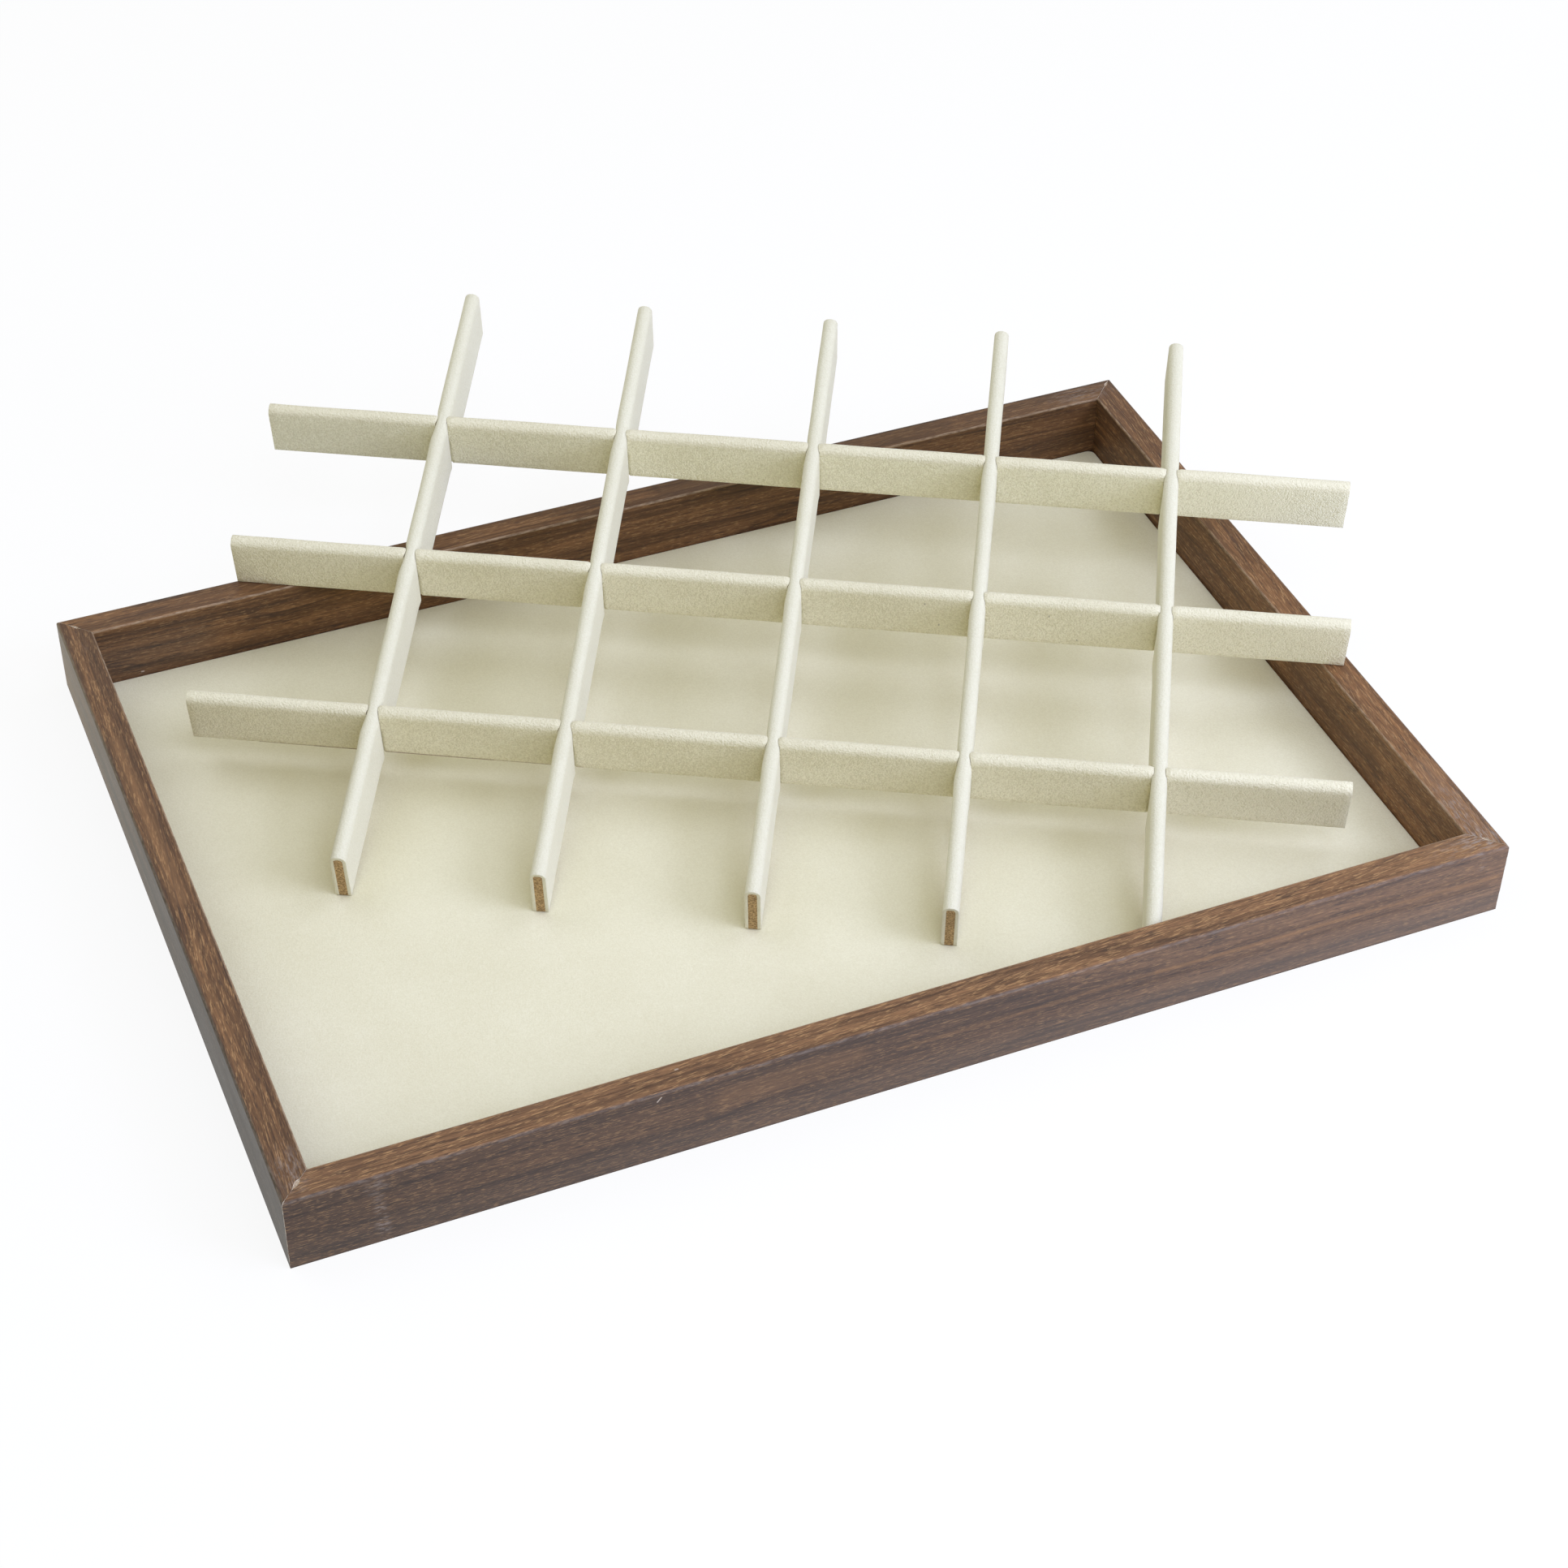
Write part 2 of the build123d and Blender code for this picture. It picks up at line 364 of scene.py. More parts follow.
# Noises of the print: features a metre along the grain and on both axes across it, detail, roughness.
wander_noise = ((9, 45, 45), 2.0, 0.5)
band_noise = ((5, 230, 230), 2.0, 0.5)
streak_noise = ((6, 1050, 1050), 3.0, 0.6)
vein_noise = ((7, 190, 190), 1.0, 0.5)
line_noise = ((80, 2300, 2300), 3.0, 0.65)
fleck_noise = ((300, 3200, 3200), 2.0, 0.6)
pore_noise = ((260, 3100, 3100), 1.0, 0.5)
cloud_noise = ((25, 90, 90), 2.0, 0.5)
wear_noise = ((330, 1300, 1300), 3.0, 0.65)
paper_noise = ((2500, 2500, 2500), 3.0, 0.6)

grain_wander = 9 * mm
mark_wander_share = 0.22
fleck_slant = 0.10
band_share, streak_share = 0.44, 0.48
tone_level = 0.50
print_level = 0.88
line_contrast = 1.58
cloud_contrast = 0.26
vein_band = (0.002, 0.014)
vein_share = 0.55
pore_band = (0.58, 0.68)
pore_share = 0.6
fleck_band = (0.53, 0.67)
fleck_tone_band = (0.34, 0.54)
fleck_glint_share = 0.52
front_fleck_glint_loss, side_fleck_glint_loss = 0.28, 0.42
outer_face_band = (0.25 * mm, 0.8 * mm)
# Painted grey sheen and painted light on the outer faces: their level in the middle, slope a metre and bend.
front_sheen_share = 0.42
side_sheen_share = (0.36, -1.1)
front_painted_light = (0.83, 1.75)
side_painted_light = (0.67, 5, 28)
# Where and how strongly the front outer faces turn paler towards their foot, more so to the right.
pale_foot_band = (3 * mm, 13 * mm)
pale_foot_share = (0.10, 0.3)
# Band and share of the painted contact shadow at the foot of the outer faces.
contact_shade_band = (0.15 * mm, 0.55 * mm)
contact_shade_share = 0.5
outer_edge_band = (0.25 * mm, 0.9 * mm)
outer_edge_rise = (tray_height - 1.0 * mm, tray_height - 0.4 * mm)
inner_edge_band = (rail_width - 0.6 * mm, rail_width - 0.25 * mm)
inner_edge_rise = (tray_height - 0.8 * mm, tray_height - 0.35 * mm)
# Patchiness and shares of the pale top-edge lines, which are partly wear and partly painted highlight.
edge_patch_band = (0.36, 0.64)
inner_wear_and_highlight = (0.24, 0.56)
outer_wear_and_highlight = (0.05, 0.30)
scuff_band = (0.42, 0.7)
foil_roughness = (0.42, 0.10)
scuff_roughness, edge_roughness, fleck_gloss = 0.2, 0.25, 0.08
foil_shine = 0.22
line_relief, fleck_relief, pore_relief, streak_relief = 0.5, 0.35, 0.5, 0.3
emboss_strength = 0.55
emboss_depth = 0.06 * mm
paper_fibre_share = 0.5
paper_roughness = (0.75, 0.15)


def pick(kind, rule):
    """Selects, in edit mode, the vertices, edges or faces that the rule takes."""
    bpy.ops.mesh.select_mode(type=kind)
    bpy.ops.mesh.select_all(action="DESELECT")
    mesh = bmesh.from_edit_mesh(bpy.context.edit_object.data)
    for element in {"VERT": mesh.verts, "EDGE": mesh.edges, "FACE": mesh.faces}[kind]:
        if rule(element):
            element.select_set(True)
    mesh.select_flush_mode()
    bmesh.update_edit_mesh(bpy.context.edit_object.data)


def middle(edge):
    return (edge.verts[0].co + edge.verts[1].co) / 2


def runs_along(edge, axis):
    """Whether an edge is parallel to axis 0, 1 or 2."""
    span = edge.verts[1].co - edge.verts[0].co
    return abs(span[axis]) > straight_share * span.length


def is_end_or_underside(face):
    return face.normal.z < -facing_share or abs(face.normal.x) > facing_share


def cut_across(axis, places):
    """Cuts the whole mesh square to an axis at each place."""
    normal = [0, 0, 0]
    normal[axis] = 1
    for place in places:
        bpy.ops.mesh.select_all(action="SELECT")
        bpy.ops.mesh.bisect(plane_co=[place * part for part in normal], plane_no=normal)


def add_block(name, size, centre):
    """A block at its size and place, in edit mode."""
    bpy.ops.object.select_all(action="DESELECT")
    bpy.ops.mesh.primitive_cube_add(size=1, location=centre)
    block = bpy.context.object
    block.name = name
    block.scale = size
    bpy.ops.object.transform_apply(location=True, rotation=True, scale=True)
    bpy.ops.object.mode_set(mode="EDIT")
    return block


def copy_piece(model, name):
    """A copy of a modelled piece with its own mesh."""
    piece = model.copy()
    piece.data = model.data.copy()
    piece.name = name
    bpy.context.collection.objects.link(piece)
    return piece


def select_only(piece):
    bpy.ops.object.select_all(action="DESELECT")
    bpy.context.view_layer.objects.active = piece
    piece.select_set(True)


def add_modifier(piece, kind, **settings):
    """Adds a modifier and applies it."""
    select_only(piece)
    modifier = piece.modifiers.new(kind.lower(), kind)
    for setting, value in settings.items():
        setattr(modifier, setting, value)
    bpy.ops.object.modifier_apply(modifier=modifier.name)


def smooth_faces(piece, degrees):
    """Shades a piece smooth, but keeps the edges that are sharper than this."""
    select_only(piece)
    bpy.ops.object.shade_smooth_by_angle(angle=radians(degrees))


def model_foil(name, length):
    """Foil of a rail that runs along X, with its outer face at Y 0 and its end edges mitred."""
    foil = add_block(name, (length, rail_width, tray_height), (0, rail_width / 2, tray_height / 2))
    pick("FACE", is_end_or_underside)
    bpy.ops.mesh.delete(type="FACE")

    def is_top_edge(edge, edge_y):
        place = middle(edge)
        return runs_along(edge, 0) and place.z > tray_height - end_fit and abs(place.y - edge_y) < end_fit

    pick("EDGE", lambda edge: is_top_edge(edge, 0))
    bpy.ops.mesh.bevel(offset=outer_radius, segments=edge_steps)
    pick("EDGE", lambda edge: is_top_edge(edge, rail_width))
    bpy.ops.mesh.bevel(offset=inner_radius, segments=edge_steps)
    cut_across(2, [rebate_height])
    pick("FACE", lambda face: face.normal.y > facing_share and face.calc_center_median().z < rebate_height)
    bpy.ops.mesh.delete(type="FACE")
    pick("EDGE", lambda edge: runs_along(edge, 0))
    bpy.ops.mesh.subdivide(number_cuts=length_cuts)
    pick("EDGE", lambda edge: runs_along(edge, 2) and edge.calc_length() > rebate_height + end_fit)
    bpy.ops.mesh.subdivide(number_cuts=height_cuts)
    pick("EDGE", lambda edge: runs_along(edge, 1) and edge.calc_length() > rail_width / 2)
    bpy.ops.mesh.subdivide(number_cuts=top_cuts)
    bpy.ops.object.mode_set(mode="OBJECT")
    for vertex in foil.data.vertices:
        vertex.co.x *= 1 - 2 * vertex.co.y / length
    return foil


def place_foil(foil, angle, place):
    """Turns a foil about Z onto its side of the tray and trims its ends along the cracks."""
    foil.data.transform(Matrix.Translation(place) @ Matrix.Rotation(angle, 4, "Z"))
    along = Matrix.Rotation(angle, 3, "Z") @ Vector((1, 0, 0))
    for vertex in foil.data.vertices:
        from_side = half_length - abs(vertex.co.x)
        from_front = half_width - abs(vertex.co.y)
        if abs(from_side - from_front) > end_fit:
            continue
        spot = vertex.co / crack_reach
        gap = crack + crack_wander * (noise.noise(spot) + noise.noise(spot * crack_fineness) / 2)
        if from_side > rail_width - end_fit and vertex.co.z < tray_height - inner_radius:
            gap *= inner_crack_share
        chip_place, chip_depth, chip_reach = chips[(vertex.co.x > 0, vertex.co.y > 0)]
        if vertex.co.z > tray_height - outer_radius / 2:
            gap += chip_depth * max(0, 1 - ((from_side - chip_place) / chip_reach) ** 2)
        vertex.co -= along * (max(gap, 0) if vertex.co.dot(along) > 0 else -max(gap, 0))


def grain_frame(finish, crosswise, shift):
    """A place on the foil with X along its grain, moved so that no two rails match."""
    turn = (0, 0, pi / 2 if crosswise else 0)
    inputs = {"Vector": object_place(finish), "Rotation": turn, "Location": shift}
    return finish.node("ShaderNodeMapping", {}, inputs)


def parts_of(finish, spot):
    split = finish.node("ShaderNodeSeparateXYZ", {}, {"Vector": spot})
    return [Value(finish, output) for output in split.socket.node.outputs]


def place_of(finish, x, y, z):
    """Three numbers as one place."""
    return finish.node("ShaderNodeCombineXYZ", {}, {0: x, 1: y, 2: z})


def vector_maths(finish, operation, first, second=(0, 0, 0), output=0):
    return finish.node("ShaderNodeVectorMath", {"operation": operation}, {0: first, 1: second}, output)


def soft_spot(finish, centre, reach):
    """1 in the middle of a small patch on the object, falling to 0 at its reach along each axis."""
    moved = vector_maths(finish, "SUBTRACT", object_place(finish), centre)
    away = vector_maths(finish, "DIVIDE", moved, reach)
    return 1 - step_up(finish, vector_maths(finish, "LENGTH", away, output=1), 0.0, 1.0)


def add_marks(finish, colour, marks, spot=None):
    """Lays thin strokes on a colour: each has its two ends, its half width, its colour and its share."""
    spot = spot or object_place(finish)
    for start, end, half_width_of_mark, tint, share in marks:
        run = Vector(end) - Vector(start)
        from_start = vector_maths(finish, "SUBTRACT", spot, tuple(start))
        reach = vector_maths(finish, "DOT_PRODUCT", from_start, tuple(run / run.length_squared), 1)
        on_line = vector_maths(finish, "MULTIPLY", grey(finish, clamped(finish, reach)), tuple(run))
        away = vector_maths(finish, "DISTANCE", from_start, on_line, 1)
        mask = 1 - step_up(finish, away, 0.0, half_width_of_mark)
        colour = blend_colours(finish, mask * share, colour, tint)
    return colour


def foil_finish(name, crosswise, shift, print_look, marks):
    """Walnut print: bands, streaks, veins and flecks along the grain, the flecks partly painted glints; a
    painted grey sheen and painted light on the outer faces, and wear with a painted highlight along the top
    edges.
    """
    lighter, rightwards, backwards, figure, fineness, tint = print_look
    finish = Finish(bpy.data.materials.new(name))
    spot = grain_frame(finish, crosswise, shift)
    along, across, up = parts_of(finish, spot)
    place_x, place_y, place_z = parts_of(finish, object_place(finish))
    wander = (scaled_noise(finish, spot, *wander_noise) - 0.5) * grain_wander
    drift = place_of(finish, along, across + wander, up + wander)
    slant = across + along * (fleck_slant if crosswise else -fleck_slant)
    bands = scaled_noise(finish, drift, *band_noise)
    streaks = scaled_noise(finish, drift, *streak_noise)
    veins = scaled_noise(finish, drift, *vein_noise)
    lines = scaled_noise(finish, spot, *line_noise)
    fleck_grain = scaled_noise(finish, place_of(finish, along, slant, up), *fleck_noise)
    cloud = scaled_noise(finish, spot, *cloud_noise)
    wear = scaled_noise(finish, spot, *wear_noise)

    figured = (bands * band_share + streaks * streak_share - (band_share + streak_share) / 2) * figure
    tone = figured + place_x * rightwards + place_y * backwards + (tone_level + lighter)
    colour = finish.node("ShaderNodeValToRGB", {"stops": grain_stops}, {"Fac": tone})
    brightness = print_level + (lines - 0.5) * (line_contrast * fineness) + cloud * cloud_contrast
    colour = times(finish, times(finish, colour, grey(finish, brightness)), tint)
    vein = 1 - step_up(finish, abs(veins - 0.5), *vein_band)
    colour = blend_colours(finish, vein * vein_share, colour, vein_colour)
    pores = step_up(finish, scaled_noise(finish, spot, *pore_noise), *pore_band)
    colour = blend_colours(finish, pores * pore_share, colour, pore_colour)

    inward = half_length - abs(place_x) if crosswise else half_width - abs(place_y)
    outside = 1 - step_up(finish, inward, *outer_face_band)
    # Painted grey sheen and painted light on the outer faces: lighter towards the back on the side rails,
    # darker to the left and lighter to the right on the front and back rails.
    if crosswise:
        level, slope, bend = side_painted_light
        colour = blend_colours(finish, outside * graded(place_x, side_sheen_share), colour, side_face_painted_sheen)
        painted_light_level = level + place_y * (slope + place_y * bend)
    else:
        colour = blend_colours(finish, outside * front_sheen_share, colour, front_face_painted_sheen)
        painted_light_level = graded(place_x, front_painted_light)
    colour = blend_colours(finish, outside, colour, times(finish, colour, grey(finish, painted_light_level)))
    # Pale flecks along the grain, partly printed and partly painted glints, shown less on the outer faces.
    flecks = step_up(finish, fleck_grain, *fleck_band) * step_up(finish, tone, *fleck_tone_band)
    fleck_glint_loss = side_fleck_glint_loss if crosswise else front_fleck_glint_loss
    shown_fleck_glints = flecks * (fleck_glint_share - outside * fleck_glint_loss) * fineness
    colour = blend_colours(finish, shown_fleck_glints, colour, fleck_glint_colour)
    # The front and back rails' outer faces turn paler towards their foot, more so to the right.
    if not crosswise:
        pale_foot = outside * (1 - step_up(finish, place_z, *pale_foot_band)) * graded(place_x, pale_foot_share)
        colour = blend_colours(finish, pale_foot, colour, pale_foot_colour)
    # A painted contact shadow: a dark line along the foot of the outer faces.
    contact_shade = outside * (1 - step_up(finish, place_z, *contact_shade_band))
    colour = blend_colours(finish, contact_shade * contact_shade_share, colour, dark_streak_and_contact_shade)
    wavering = place_of(finish, place_x, place_y, place_z + wander * mark_wander_share)
    colour = add_marks(finish, colour, marks, wavering)

    # Pale lines along the outer and inner top edges: partly wear, partly a painted highlight of the rounded
    # edges.
    outer_edge = (1 - step_up(finish, inward, *outer_edge_band)) * step_up(finish, place_z, *outer_edge_rise)
    inner_edge = step_up(finish, inward, *inner_edge_band) * step_up(finish, place_z, *inner_edge_rise)
    edge_patches = step_up(finish, wear, *edge_patch_band)
    colour = blend_colours(finish, inner_edge * graded(edge_patches, inner_wear_and_highlight), colour, worn_edge_and_highlight_colour)
    scuffs_and_highlight = outer_edge * graded(edge_patches, outer_wear_and_highlight)
    scratched = step_up(finish, wear, *scuff_band)
    for centre, reach, strength in scuff_places:
        scuffs_and_highlight = scuffs_and_highlight + soft_spot(finish, centre, reach) * scratched * strength
    finish.feed("Base Color", blend_colours(finish, clamped(finish, scuffs_and_highlight), colour, scuff_and_highlight_colour))
    roughness = graded(cloud, foil_roughness) + scuffs_and_highlight * scuff_roughness + outer_edge * edge_roughness
    finish.feed("Roughness", roughness - flecks * fleck_gloss)
    finish.feed("Specular IOR Level", foil_shine)
    height = lines * line_relief + fleck_grain * fleck_relief - pores * pore_relief + streaks * streak_relief
    finish.feed("Normal", relief(finish, height, emboss_strength, emboss_depth))
    return finish.owner


def paper_finish(name):
    """The pale core of the foil, which shows at its cut ends."""
    finish = Finish(bpy.data.materials.new(name))
    fibres = scaled_noise(finish, object_place(finish), *paper_noise)
    finish.feed("Base Color", blend_colours(finish, fibres * paper_fibre_share, paper_pale, paper_brown))
    finish.feed("Roughness", graded(fibres, paper_roughness))
    return finish.owner


def at(*millimetres):
    """A place or a size that is given in millimetres."""
    return tuple(part * mm for part in millimetres)


# How each rail's print differs: how much lighter, and lighter a metre to the right and to the back,
# how strong its bands are, how strong its lines and flecks are, and its tint.
print_looks = {
    "near": (0.033, 0.08, 0.0, 1.0, 1.2, (1.0, 1.02, 1.10, 1)),
    "far": (-0.016, -0.05, 0.0, 0.75, 0.68, (1.0, 0.97, 0.92, 1)),
    "left": (-0.006, 0.25, 0.0, 0.75, 1.15, (1.0, 1.0, 1.0, 1)),
    "right": (-0.036, 0.25, -0.60, 0.75, 1.0, (1.0, 0.945, 0.90, 1)),
}
top = tray_height / mm
front = -half_width / mm
# Scuffed patches: centre, reach along each axis and strength.
scuff_places = [
    (at(-150.5, front, 5.5), at(2.8, 3.0, 6.5), 1.0),
    (at(-150.8, front, 13.0), at(2.4, 3.0, 7.0), 0.65),
    (at(-151.5, front, 20.5), at(5.0, 3.0, 4.0), 0.5),
    (at(167.0, front, 19.8), at(1.5, 3.0, 3.6), 0.6),
    (at(169.0, -116.5, top), at(8.0, 5.0, 3.0), 0.6),
    (at(-170.1, 107.4, top), at(2.5, 3.5, 3.0), 0.18),
    (at(169.5, -108.0, top), at(7.0, 26.0, 3.0), 0.6),
    (at(163.0, -117.5, top), at(16.0, 5.0, 3.0), 0.45),
    (at(163.0, 117.5, top), at(18.0, 6.0, 3.0), 0.5),
    (at(-170.0, -112.0, top), at(6.0, 12.0, 3.0), 0.6),
]
# Marks on each rail's foil: two ends, half width, colour and share.
foil_marks = {
    "near": [
        (at(-69.8, -115.6, top), at(-69.1, -115.6, top), 0.4 * mm, scratch_colour, 0.6),
        (at(-77.1, front, 21.5), at(-76.0, front, 22.8), 0.32 * mm, scratch_colour, 0.75),
        (at(-10.0, front, 14.4), at(66.0, front, 15.2), 1.1 * mm, warm_streak, 0.22),
        (at(66.0, front, 15.2), at(128.0, front, 14.6), 1.3 * mm, warm_streak, 0.46),
        (at(128.0, front, 14.6), at(173.0, front, 13.5), 1.2 * mm, warm_streak, 0.36),
        (at(60.0, front, 12.2), at(170.0, front, 11.2), 1.6 * mm, dark_streak_and_contact_shade, 0.26),
        (at(90.0, front, 17.2), at(168.0, front, 16.4), 1.2 * mm, dark_streak_and_contact_shade, 0.20),
        (at(-58.0, front, 16.0), at(-22.0, front, 16.5), 6.0 * mm, warm_streak, 0.20),
        (at(148.0, -117.5, top), at(172.0, -117.5, top), 6.0 * mm, warm_streak, 0.20),
    ],
    "left": [
        (at(-167.2, 42.0, top), at(-169.0, 16.0, top), 0.42 * mm, dark_streak_and_contact_shade, 0.6),
        (at(-169.0, 16.0, top), at(-173.6, -25.0, top), 0.42 * mm, dark_streak_and_contact_shade, 0.6),
        (at(-171.5, 62.0, top), at(-170.5, -8.0, top), 3.4 * mm, warm_streak, 0.30),
    ],
    "far": [
        (at(-153.6, 113.0, 5.5), at(-153.0, 113.0, 5.5), 0.4 * mm, scratch_colour, 0.7),
        # Painted shade on the far rail's top.
        (at(15.0, 117.5, top), at(112.0, 117.5, top), 6.0 * mm, painted_shade_brown, 0.50),
        (at(-162.0, 113.0, 12.0), at(-138.0, 113.0, 12.0), 13.0 * mm, grey_haze, 0.18),
    ],
    "right": [
        (at(170.5, -118.0, top), at(170.5, -84.0, top), 6.0 * mm, pale_wear, 0.20),
        # Painted shade on the right rail's inner face.
        (at(166.0, -62.0, 12.0), at(166.0, -22.0, 12.0), 12.0 * mm, painted_shade_brown, 0.35),
    ],
}
foil_paper = paper_finish("foil_paper")
long_foil = model_foil("long_foil", 2 * half_length)
short_foil = model_foil("short_foil", 2 * half_width)
# The model, turn and place of each rail's foil, whether it runs crosswise, and its print's shift.
foil_runs = {
    "near": (long_foil, 0, (0, -half_width, 0), False, (0.0, 0.0, 0.0)),
    "far": (long_foil, pi, (0, half_width, 0), False, (0.73, 0.21, 0.04)),
    "left": (short_foil, -pi / 2, (-half_length, 0, 0), True, (1.41, 0.52, 0.09)),
    "right": (short_foil, pi / 2, (half_length, 0, 0), True, (2.17, 0.87, 0.13)),
}
for side, (model, angle, place, crosswise, shift) in foil_runs.items():
    foil = copy_piece(model, f"{side}_foil_wrap")
    place_foil(foil, angle, Vector(place))
    foil.data.materials.append(foil_finish(
        f"{side}_walnut_foil", crosswise, shift, print_looks[side], foil_marks[side]
    ))
    foil.data.materials.append(foil_paper)
    add_modifier(foil, "SOLIDIFY", thickness=foil_thickness, offset=-1, material_offset_rim=1)
    smooth_faces(foil, foil_smooth_angle)
    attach(foil, "tray")
    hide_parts(f"{side}_rail_foil")
for model in (long_foil, short_foil):
    bpy.data.objects.remove(model)


# Corner nails and brads: bright drawn steel, the nails driven across the mitres from below
# and the brads through the base board, with their flat heads just under its face.
steel_bright = (0.60, 0.58, 0.55, 1)
steel_dull = (0.33, 0.31, 0.29, 1)
drawn_noise = ((2200, 2200, 260), 2.0, 0.5)
tarnish_noise = ((700, 700, 700), 3.0, 0.5)
tarnish_band = (0.4, 0.7)
steel_roughness = (0.28, 0.25)


def steel_finish(name):
    """Bright steel with fine drawing lines and a little tarnish."""
    finish = Finish(bpy.data.materials.new(name))
    spot = object_place(finish)
    drawn = scaled_noise(finish, spot, *drawn_noise)
    tarnish = step_up(finish, scaled_noise(finish, spot, *tarnish_noise), *tarnish_band)
    finish.feed("Base Color", blend_colours(finish, tarnish, steel_bright, steel_dull))
    finish.feed("Metallic", 1.0)
    finish.feed("Roughness", graded(drawn, steel_roughness))
    return finish.owner


drawn_steel = steel_finish("drawn_steel")
for node in ("corner_nails", "base_brads"):
    dress(node, drawn_steel)


# Base board: a thin brown hardboard let into the rebate under the rails, and the grey card
# that stiffens the floor pad above it.
hardboard_pale = (0.245, 0.150, 0.088, 1)
hardboard_brown = (0.150, 0.086, 0.050, 1)
hardboard_grain = 1300
greyboard_pale = (0.47, 0.43, 0.37, 1)
greyboard_dark = (0.34, 0.31, 0.27, 1)
greyboard_grain = 1600
dress("base_board", board_finish("brown_hardboard", hardboard_pale, hardboard_brown, hardboard_grain))
dress("floor_card", board_finish("floor_greyboard", greyboard_pale, greyboard_dark, greyboard_grain))


# Floor velvet: one piece of ivory velvet laid over the card and turned down round its edges.
# Its face is a little uneven, and its nap lies in soft clouds.
pad_low, pad_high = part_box("floor_velvet")
pad_size = pad_high - pad_low
card_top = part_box("floor_card")[1].z
pad_corner_radius = 2.4 * mm
pad_corner_steps = 6
pad_edge_radius = 0.5 * mm
pad_edge_steps = 3
pad_smooth_angle = 40
pad_columns, pad_rows = 110, 75
pad_hollow = 0.13 * mm
hollow_reach = 34 * mm
hollow_fineness = 3.3
level_rim = 8 * mm
velvet_fit = 0.02 * mm
floor_ivory = (0.830, 0.793, 0.592, 1)
floor_shadow = (0.740, 0.694, 0.490, 1)
floor_nap = 2100
floor_contrast = 0.8
floor_relief = 0.25
# Painted shade and painted light that come in along an axis, between two places on it: painted shade to the
# far left, painted light to the right.
floor_painted_light_and_shade = [
    (Vector((-0.6, 0.8, 0)), 30 * mm, 100 * mm, (0.97, 0.965, 0.925, 1)),
    (Vector((1, 0, 0)), 110 * mm, 155 * mm, (1.06, 1.065, 1.08, 1)),
]
velvet_cloud_noise = ((26, 26, 26), 3.0, 0.55)
velvet_patch_noise = ((90, 90, 90), 2.0, 0.5)
nap_detail = (2.0, 0.6)
fibre_contrast, tuft_contrast = 1.5, 0.8
cloud_share, patch_share = 0.9, 0.3
tuft_relief = 0.7
fold_blend = 2 * mm
fold_calm_share = 0.6
velvet_roughness = 0.92
velvet_shine = 0.15
sheen_share = 0.25
sheen_roughness = 0.45
sheen_tint = (1.0, 0.99, 0.95, 1)
nap_depth = 0.3 * mm


def rise_along(finish, spot, axis, start, end):
    """0 before one place along an axis, 1 past another and smooth between them."""
    return step_up(finish, vector_maths(finish, "DOT_PRODUCT", spot, tuple(axis), 1), start, end)


def velvet_finish(name, nap, contrast, bump, ivory, shadow, marks=(), fold=None, painted_lift=None, painted_tints=()):
    """Short dense nap: a fine speckle with soft clouds, and a pale sheen where it turns away."""
    finish = Finish(bpy.data.materials.new(name))
    spot = object_place(finish)
    fibres = scaled_noise(finish, spot, (nap, nap, nap), *nap_detail)
    tufts = scaled_noise(finish, spot, (nap / 2, nap / 2, nap / 2))
    cloud = scaled_noise(finish, spot, *velvet_cloud_noise)
    patch = scaled_noise(finish, spot, *velvet_patch_noise)
    speckle = (fibres - 0.5) * (fibre_contrast * contrast) + (tufts - 0.5) * (tuft_contrast * contrast)
    on_fold = 0
    if fold:
        axis, level = fold
        on_fold = rise_along(finish, spot, axis, level - fold_blend, level)
        speckle = speckle * (1 - on_fold * fold_calm_share)
    share = 0.5 + speckle + (cloud - 0.5) * cloud_share + (patch - 0.5) * patch_share
    # Painted light: the colour lifts towards one end along an axis.
    if painted_lift:
        axis, start, end, gain = painted_lift
        share = share + rise_along(finish, spot, axis, start, end) * gain
    colour = blend_colours(finish, clamped(finish, share), shadow, ivory)
    # Painted light and painted shade, laid on as tints between two places along an axis.
    for axis, start, end, tint in painted_tints:
        reach = rise_along(finish, spot, axis, start, end) * (1 - on_fold)
        colour = times(finish, colour, blend_colours(finish, reach, white, tint))
    finish.feed("Base Color", add_marks(finish, colour, marks))
    finish.feed("Roughness", velvet_roughness)
    finish.feed("Specular IOR Level", velvet_shine)
    finish.feed("Sheen Weight", sheen_share)
    finish.feed("Sheen Roughness", sheen_roughness)
    finish.feed("Sheen Tint", sheen_tint)
    finish.feed("Normal", relief(finish, fibres + tufts * tuft_relief, bump, nap_depth))
    return finish.owner


def is_pad_rim(edge):
    """Whether an edge lies between the flat face and the turned-down edge."""
    upright = [abs(face.normal.z) < facing_share for face in edge.link_faces]
    on_top = all(vertex.co.z > pad_high.z - velvet_fit for vertex in edge.verts)
    return on_top and any(upright) and not all(upright)


bpy.ops.object.select_all(action="DESELECT")
bpy.ops.mesh.primitive_grid_add(x_subdivisions=pad_columns, y_subdivisions=pad_rows, size=1)
floor_pad = bpy.context.object
floor_pad.name = "floor_velvet_cover"
floor_pad.scale = (pad_size.x, pad_size.y, 1)
floor_pad.location = (0, 0, pad_high.z)
bpy.ops.object.transform_apply(location=True, rotation=True, scale=True)
bpy.ops.object.mode_set(mode="EDIT")
pick("VERT", lambda vertex: len(vertex.link_faces) == 1)
bpy.ops.mesh.bevel(offset=pad_corner_radius, segments=pad_corner_steps, affect="VERTICES")
pick("EDGE", lambda edge: edge.is_boundary)
bpy.ops.mesh.extrude_region_move(TRANSFORM_OT_translate={"value": (0, 0, -pad_size.z)})
